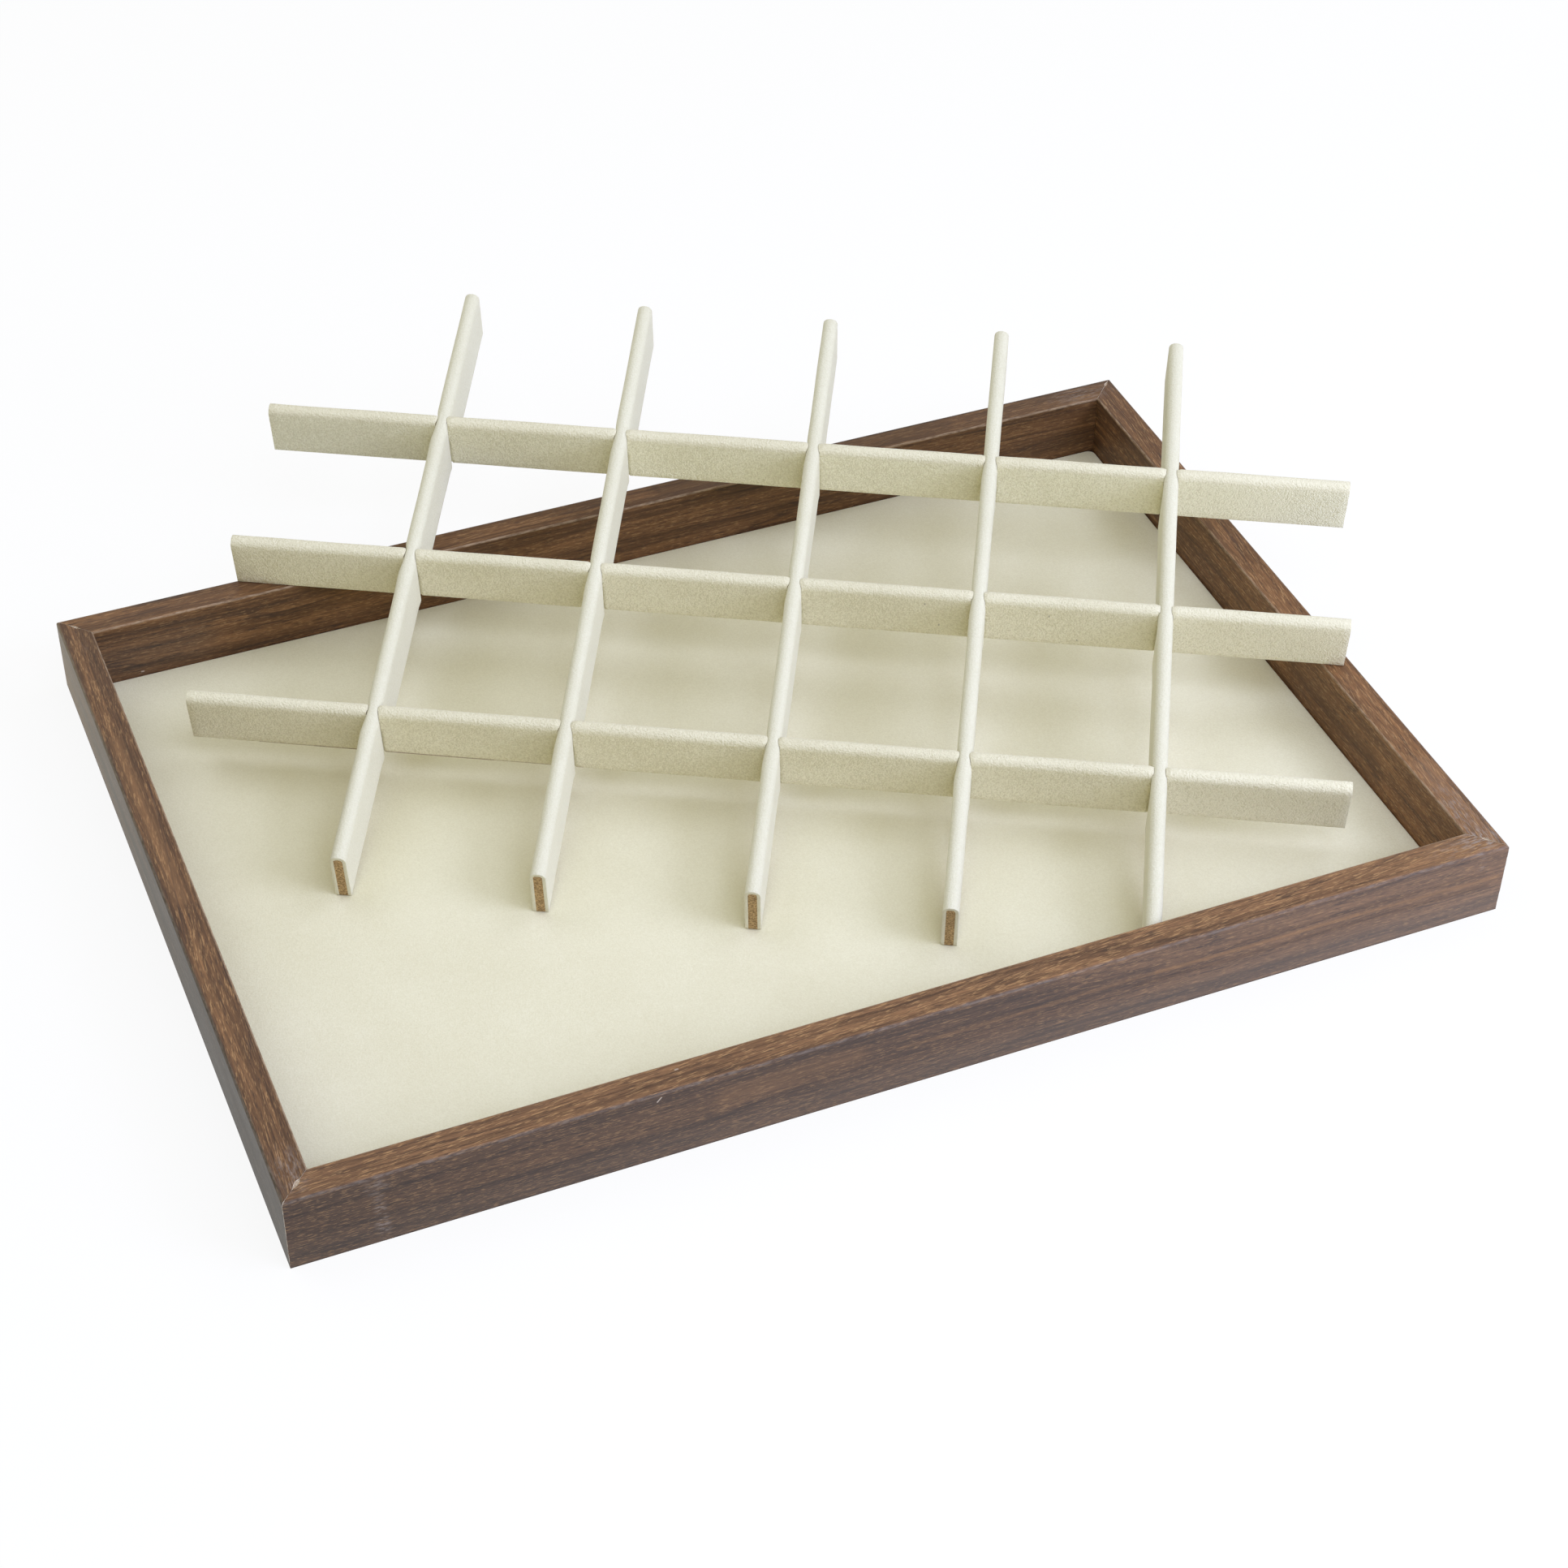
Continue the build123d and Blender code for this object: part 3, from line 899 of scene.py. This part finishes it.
bpy.ops.mesh.select_all(action="SELECT")
bpy.ops.mesh.normals_make_consistent(inside=False)
pick("EDGE", is_pad_rim)
bpy.ops.mesh.bevel(offset=pad_edge_radius, segments=pad_edge_steps)
bpy.ops.object.mode_set(mode="OBJECT")
for vertex in floor_pad.data.vertices:
    rim = min(half_length - rail_width - abs(vertex.co.x), half_width - rail_width - abs(vertex.co.y))
    if vertex.co.z > pad_high.z - velvet_fit and rim > 2 * pad_edge_radius:
        spot = vertex.co / hollow_reach
        sunk = 0.5 + 0.5 * noise.noise(spot) + 0.25 * noise.noise(spot * hollow_fineness)
        vertex.co.z -= pad_hollow * min(1, rim / level_rim) * max(0, min(1, sunk))
add_modifier(floor_pad, "SOLIDIFY", thickness=pad_high.z - card_top - velvet_fit, offset=-1)
smooth_faces(floor_pad, pad_smooth_angle)
floor_velvet = velvet_finish(
    "floor_ivory_velvet", floor_nap, floor_contrast, floor_relief, floor_ivory, floor_shadow,
    painted_tints=floor_painted_light_and_shade
)
floor_pad.data.materials.append(floor_velvet)
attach(floor_pad, "tray")
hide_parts("floor_velvet")


# Divider cores: slim strips of brown fibreboard, slotted to half their height. Their sawn ends
# show at the ends of the strips.
core_pale = (0.56, 0.380, 0.175, 1)
core_brown = (0.243, 0.150, 0.062, 1)
core_grain = 1700
core_contrast = 1.9
long_names = ("near", "middle", "far")
cross_numbers = (1, 2, 3, 4, 5)
long_strips = [f"{name}_long_strip" for name in long_names]
cross_strips = [f"cross_strip_{number}" for number in cross_numbers]
core_fibreboard = board_finish("core_fibreboard", core_pale, core_brown, core_grain, core_contrast)
for strip in long_strips + cross_strips:
    dress(f"{strip}_core", core_fibreboard)


# Divider velvet: each core is wrapped in a folded length of the same velvet, glued down both
# sides and cut at the slots. It is pinched thin where two strips cross, and rounded along the
# fold. The strips lie in the grid's own frame, whose upward axis is the one they lift along.
grid_up = Vector(next(joint["axis"] for joint in frame["joints"] if joint["name"] == "cross_strip_1_lift"))
grid_up.normalize()
along_long = Vector((0, 0, 1)).cross(grid_up).normalized()
along_cross = grid_up.cross(along_long)
grid_axes = (along_long, along_cross, grid_up)


def grid_box(node):
    """Lowest and highest place of a node along the grid's three axes."""
    spots = [[vertex.co.dot(axis) for axis in grid_axes] for vertex in frame["nodes"][node].data.vertices]
    return [min(column) for column in zip(*spots)], [max(column) for column in zip(*spots)]


def middle_of(node, axis):
    low, high = grid_box(node)
    return (low[axis] + high[axis]) / 2


first_low, first_high = grid_box("near_long_strip_velvet")
cross_low, cross_high = grid_box("cross_strip_1_velvet")
core_low, core_high = grid_box("near_long_strip_core")
strip_height = first_high[2] - first_low[2]
strip_thickness = first_high[1] - first_low[1]
core_thickness = core_high[1] - core_low[1]
long_length = first_high[0] - first_low[0]
cross_length = cross_high[1] - cross_low[1]
long_middle = (first_low[0] + first_high[0]) / 2
cross_middle = (cross_low[1] + cross_high[1]) / 2
grid_bottom = first_low[2]
core_top = core_high[2] - grid_bottom
cross_places = [middle_of(f"{strip}_velvet", 0) - long_middle for strip in cross_strips]
long_places = [middle_of(f"{strip}_velvet", 1) - cross_middle for strip in long_strips]
near_place, middle_place, far_place = long_places

fold_radius = 2.1 * mm
fold_steps = 6
fold_reach = 1.02 * fold_radius
side_cuts = 8
cut_radius = 0.08 * mm
cut_steps = 2
cut_angle = radians(55)
strip_smooth_angle = 45
lap_gap = 0.3 * mm
long_lap = (strip_height - lap_gap) / 2
cross_lap = (strip_height + lap_gap) / 2
slot_width = 3.64 * mm
slot_clearance = 0.04 * mm
slot_spread = 2.5 * mm
hug_depth = 1.5 * fold_radius
slot_hug = 0.07 * mm
pinched_hug = 0.16 * mm
# The neck of a cross strip: pinched flat at the crossing, then opening out to each side.
neck_thickness = 3.56 * mm
cross_neck_flat = 1.7 * mm
near_left_ramp = 6.5 * mm
near_right_ramp = 3.0 * mm
far_ramp = 2.6 * mm
bulge_share = 0.08
squareness_share = 0.45
foot_start = 1.0 * mm
foot_rise = 3.0 * mm
neck_dip = 0.05 * mm
dip_flat = 1.0 * mm
dip_ramp = 3.4 * mm
core_reach = 1.5 * mm
# The slot of a long strip: its cut edges bend down and hug the neck, and it thins under the slot.
long_neck_flat = 1.9 * mm
long_neck_ramp = 0.5 * mm
least_neck_half = 1.3 * mm
loose_neck_gain = 0.45 * mm
shoulder_drop = 0.24 * mm
loose_shoulder_gain = 0.10 * mm
shoulder_reach = 1.0 * mm
# How tight each long strip's crossings are, with cross strips 1 to 5.
pinch_shares = {
    "near": (1.0, 0.5, 0.45, 0.8, 0.15),
    "middle": (1.0, 0.5, 0.45, 0.4, 0.15),
    "far": (0.9, 0.5, 0.45, 0.35, 0.3),
}
station_step = 2.4 * mm
station_offsets = at(0.0, 0.25, 0.6, 1.1, 1.8, 2.7, 3.8, 5.1, 6.6, 8.4)
inner_offsets = at(-0.45, -0.2)
wave = 0.11 * mm
wave_along, wave_across, wave_up = 26 * mm, 9 * mm, 14 * mm
wave_shift = 17.3
first_cross_seed = 10
calm_crossing = 4 * mm
calm_ramp = 9 * mm
calm_end = 12 * mm
least_wall_share = 0.12
cut_wall_share = 0.15


def ease(share):
    """0 at 0, 1 at 1 and level at both, held outside them."""
    share = max(0.0, min(1.0, share))
    return share * share * (3 - 2 * share)


def nearest_crossing(place, crossings, pinches):
    """How far a place along a strip is past its nearest crossing, and how tight that one is."""
    crossing, pinch = min(zip(crossings, pinches), key=lambda pair: abs(place - pair[0]))
    return place - crossing, pinch


def upper_share(height):
    """0 low on a strip's side and 1 from the foot of its fold upwards."""
    return ease((height - strip_height + 3 * fold_radius) / (2 * fold_radius))


def neck_half_at(offset, on_left, height, pinch, half=None):
    """Half the thickness of a cross strip beside a crossing, at a height over its foot."""
    if half is None:
        up_fold = max(0.0, min(1.0, (height - strip_height + fold_radius) / fold_radius))
        half = strip_thickness / 2 - fold_radius + fold_radius * (1 - up_fold ** 2) ** 0.5
    pinch = 1 - (1 - pinch) * ease((height - strip_height / 2 - foot_start) / foot_rise)
    near_ramp = near_left_ramp if on_left else near_right_ramp
    ramp = near_ramp if offset < 0 else far_ramp
    wide = ease((abs(offset) - cross_neck_flat) / ramp)
    narrow = pinch * (1 - wide)
    bulge = bulge_share * pinch * wide * ease(2 - (abs(offset) - cross_neck_flat) / ramp) * (offset < 0)
    squared = (2 * half / strip_thickness) ** (-squareness_share * narrow) if half > 0 else 1
    return half * squared * (1 - (1 - neck_thickness / strip_thickness) * narrow + bulge)


def model_strip(name, length, crossings, from_above):
    """Velvet cover of a strip that runs along X on the plane Z 0, open below and at its ends."""
    block_size = (length, strip_thickness, strip_height)
    cover = add_block(name, block_size, (0, 0, strip_height / 2))
    pick("FACE", is_end_or_underside)
    bpy.ops.mesh.delete(type="FACE")
    pick("EDGE", lambda edge: runs_along(edge, 0) and middle(edge).z > strip_height - fold_radius)
    bpy.ops.mesh.bevel(offset=fold_radius, segments=fold_steps)
    pick("EDGE", lambda edge: runs_along(edge, 2))
    bpy.ops.mesh.subdivide(number_cuts=side_cuts)
    lap_level = long_lap if from_above else cross_lap
    cut_across(2, [lap_level])
    offsets = station_offsets if from_above else station_offsets + inner_offsets
    stations = []
    for crossing in crossings:
        for offset in offsets:
            stations += [crossing + side * (slot_width / 2 + offset) for side in (-1, 1)]
    steps = int(length / station_step)
    for step in range(1, steps):
        place = length * (step / steps - 0.5)
        if min(abs(place - crossing) for crossing in crossings) > station_offsets[-1] + station_step:
            stations.append(place)
    cut_across(0, sorted(stations))

    def is_in_slot(face):
        centre = face.calc_center_median()
        beside = min(abs(centre.x - crossing) for crossing in crossings)
        return beside < slot_width / 2 and (centre.z > lap_level) == from_above

    pick("FACE", is_in_slot)
    bpy.ops.mesh.delete(type="FACE")
    bpy.ops.object.mode_set(mode="OBJECT")
    return cover


def pinch_cross_cover(cover, crossings, pinches):
    """Draws a cross strip's cover in where it drops into the slots of the long strips."""
    for vertex in cover.data.vertices:
        offset, pinch = nearest_crossing(vertex.co.x, crossings, pinches)
        beside = abs(offset)
        half = neck_half_at(offset, vertex.co.y > 0, vertex.co.z, pinch, abs(vertex.co.y))
        if beside < core_reach and vertex.co.z < core_top + velvet_fit:
            half = min(half, neck_thickness / 2)
        vertex.co.y = half if vertex.co.y > 0 else -half
        dip = neck_dip * (1 - ease((beside - dip_flat) / dip_ramp))
        vertex.co.z -= pinch * dip * upper_share(vertex.co.z)


def pinch_long_cover(cover, crossings, pinches):
    """Opens a long strip's slots, thins it under them and lets their cut edges hug the cross strips."""
    neck_share = neck_thickness / strip_thickness
    for vertex in cover.data.vertices:
        offset, pinch = nearest_crossing(vertex.co.x, crossings, pinches)
        beside = abs(offset)
        on_left = offset < 0
        if vertex.co.z < long_lap + velvet_fit:
            wide = ease((beside - long_neck_flat) / long_neck_ramp)
            vertex.co.y *= neck_share + (1 - neck_share) * wide
            continue
        near_top = upper_share(vertex.co.z)
        wall_height = min(vertex.co.z, strip_height - fold_radius)
        wall = max(slot_width / 2, neck_half_at(vertex.co.y, on_left, wall_height, pinch) + slot_clearance)
        spread = (wall - slot_width / 2) * max(0.0, 1 - (beside - slot_width / 2) / slot_spread)
        shoulder = max(0.0, 1 - (beside - slot_width / 2) / shoulder_reach)
        drop = shoulder_drop + loose_shoulder_gain * (1 - pinch)
        vertex.co.z -= drop * shoulder ** 2 * near_top
        if beside < slot_width / 2 + velvet_fit and vertex.co.z > strip_height - hug_depth:
            hug = slot_hug + pinched_hug * pinch
            neck_half = neck_half_at(vertex.co.y, on_left, vertex.co.z, pinch) + hug
            least_half = least_neck_half + loose_neck_gain * (1 - pinch)
            spread = min(wall, max(neck_half, least_half)) - beside
        vertex.co.x += spread if offset > 0 else -spread


def place_strip(model, name, matrix, finish, seed, crossings, pinches, length, from_above):
    """A copy of a cover with its own pinches and slight waves, given its wall and set in its place."""
    cover = copy_piece(model, name)
    shape = pinch_long_cover if from_above else pinch_cross_cover
    shape(cover, crossings, pinches)
    core_half = core_thickness / 2 + velvet_fit
    fold_wall = strip_thickness / 2 - core_half
    walls = cover.vertex_groups.new(name="wall")
    for vertex in cover.data.vertices:
        x, y, z = vertex.co
        beside = min(abs(x - crossing) for crossing in crossings)
        calm = ease((beside - calm_crossing) / calm_ramp) * ease((length / 2 - abs(x)) / calm_end)
        spot = Vector((x / wave_along + seed * wave_shift, y / wave_across, z / wave_up))
        swell = calm * wave * noise.noise(spot)
        vertex.co.y += swell if y > 0 else -swell
        vertex.co.z += swell * ease((z - strip_height + fold_radius) / fold_radius)
        wall = (abs(vertex.co.y) - core_half) / fold_wall
        on_fold = vertex.co.z > strip_height - fold_reach
        share = 1.0 if on_fold and wall < 1 else max(least_wall_share, min(1.0, wall))
        if from_above and beside < slot_width / 2 - velvet_fit:
            share = cut_wall_share
        walls.add([vertex.index], share, "REPLACE")
    add_modifier(
        cover, "SOLIDIFY", thickness=fold_wall, offset=-1, vertex_group="wall", thickness_vertex_group=0
    )
    add_modifier(
        cover, "BEVEL", width=cut_radius, segments=cut_steps, limit_method="ANGLE", angle_limit=cut_angle
    )
    cover.data.transform(matrix)
    smooth_faces(cover, strip_smooth_angle)
    cover.data.materials.append(finish)
    return cover


def strip_matrix(along, across, origin):
    """Turns a strip from the X axis onto the grid, with its underside's middle at the origin."""
    turned = Matrix((along, across, grid_up)).transposed().to_4x4()
    return Matrix.Translation(origin) @ turned


def on_face(place, along, height):
    """A spot on the near face of the long strip at this place, given along the strip and over its foot."""
    across = cross_middle + place - strip_thickness / 2
    return along_long * (long_middle + along) + along_cross * across + grid_up * (grid_bottom + height)


# Shaded and lit copies of the same velvet: the long strips get a more golden colour as painted shade, and
# the cross strips a whiter one as painted light.
long_ivory_painted_shade = (0.852, 0.808, 0.612, 1)
long_dark_painted_shade = (0.706, 0.656, 0.462, 1)
long_nap = 2000
long_contrast = 2.2
long_relief = 1.0
cross_ivory_painted_light = (0.795, 0.772, 0.616, 1)
cross_dark_painted_light = (0.712, 0.678, 0.515, 1)
cross_nap = 2200
cross_contrast = 0.9
cross_relief = 0.5
# A thin line of brown backing shows under the near strip, between these places and so strongly.
backing_brown = (0.24, 0.13, 0.085, 1)
backing_height = 0.1 * mm
backing_half_width = 0.55 * mm
backing_runs = ((-146 * mm, -52 * mm, 0.45), (-130 * mm, -78 * mm, 0.55))
# Specks of lint on the middle strip's near face, along the strip and over its foot.
speck_grey = (0.15, 0.12, 0.09, 1)
speck_size = 0.4 * mm
lint_share = 0.6
speck_places = [at(41.6, 12.9), at(78.2, 11.7), at(87.0, 2.0), at(46.0, 4.2)]
long_marks = []
for start, end, share in backing_runs:
    line_start = on_face(near_place, start, backing_height)
    line_end = on_face(near_place, end, backing_height)
    long_marks.append((line_start, line_end, backing_half_width, backing_brown, share))
for along, height in speck_places:
    speck = on_face(middle_place, along, height)
    long_marks.append((speck, speck + grid_up * speck_size, speck_size, speck_grey, lint_share))
# The nap is calmer on the fold. Painted light makes the long strips lighter towards their right ends and the
# far strip whiter.
fold_drop = 1 * mm
painted_lift_start, painted_lift_end, painted_lift_gain = 60 * mm, 165 * mm, 0.5
far_painted_light = (1.07, 1.09, 1.10, 1)
past_middle_strip = 20 * mm
before_far_strip = 5 * mm
far_painted_light_start = cross_middle + middle_place + past_middle_strip
far_painted_light_end = cross_middle + far_place - before_far_strip
long_fold = (grid_up, grid_bottom + strip_height - fold_drop)
long_painted_lift = (along_long, long_middle + painted_lift_start, long_middle + painted_lift_end, painted_lift_gain)
long_painted_light_tints = [(along_cross, far_painted_light_start, far_painted_light_end, far_painted_light)]
long_velvet_painted_shade = velvet_finish(
    "long_strip_velvet", long_nap, long_contrast, long_relief, long_ivory_painted_shade, long_dark_painted_shade,
    long_marks, long_fold, long_painted_lift, long_painted_light_tints
)
cross_velvet_painted_light = velvet_finish(
    "cross_strip_velvet", cross_nap, cross_contrast, cross_relief, cross_ivory_painted_light, cross_dark_painted_light
)
strip_width = 2 * strip_height + strip_thickness
long_model = model_strip("long_model", long_length, cross_places, from_above=True)
for seed, (name, place) in enumerate(zip(long_names, long_places)):
    origin = along_long * long_middle + along_cross * (cross_middle + place) + grid_up * grid_bottom
    matrix = strip_matrix(along_long, along_cross, origin)
    cover = place_strip(
        long_model, f"{name}_long_strip_cover", matrix, long_velvet_painted_shade, seed, cross_places, pinch_shares[name],
        long_length, from_above=True
    )
    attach(cover, "long_strips")
    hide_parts(f"{name}_long_strip_velvet")
bpy.data.objects.remove(long_model)

cross_model = model_strip("cross_model", cross_length, long_places, from_above=False)
for number, place in zip(cross_numbers, cross_places):
    origin = along_long * (long_middle + place) + along_cross * cross_middle + grid_up * grid_bottom
    matrix = strip_matrix(along_cross, -along_long, origin)
    pinches = [pinch_shares[name][number - 1] for name in long_names]
    seed = number + first_cross_seed
    cover = place_strip(
        cross_model, f"cross_strip_{number}_cover", matrix, cross_velvet_painted_light, seed, long_places, pinches,
        cross_length, from_above=False
    )
    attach(cover, f"cross_strip_{number}")
    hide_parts(f"cross_strip_{number}_velvet")
bpy.data.objects.remove(cross_model)
